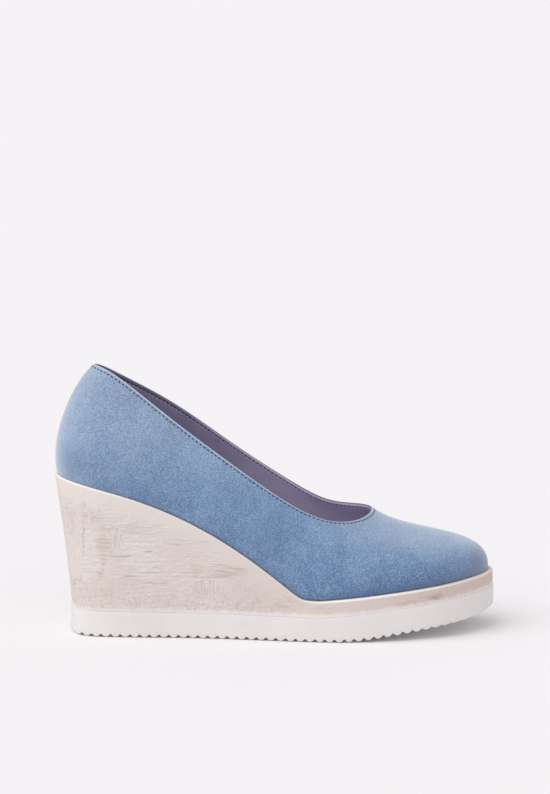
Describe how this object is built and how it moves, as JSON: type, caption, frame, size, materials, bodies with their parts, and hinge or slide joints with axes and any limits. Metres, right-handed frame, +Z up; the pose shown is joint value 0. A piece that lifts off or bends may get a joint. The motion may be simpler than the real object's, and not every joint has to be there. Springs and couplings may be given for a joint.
{
  "type": "wedge shoe",
  "caption": "Closed wedge pump for the right foot: hollow blue suede upper open at the collar, covered insole, wood-look wedge with platform, and a white sole with a rippled underside.",
  "frame": {"origin": "on the floor, under the middle of the bounding box", "axes": "+X from heel to toe, +Y to the medial side of the right foot, +Z up"},
  "size_m": [0.239, 0.0862, 0.1444],
  "materials": {
    "suede": "light blue suede with a fine nap",
    "lining": "smooth lavender lining leather",
    "washed_wood": "whitewashed wood print, satin",
    "sole_white": "smooth off-white, semi-matte"
  },
  "bodies": {
    "root": {"upper": "suede", "insole": "lining", "wedge": "washed_wood", "outsole": "sole_white"}
  },
  "joints": []
}
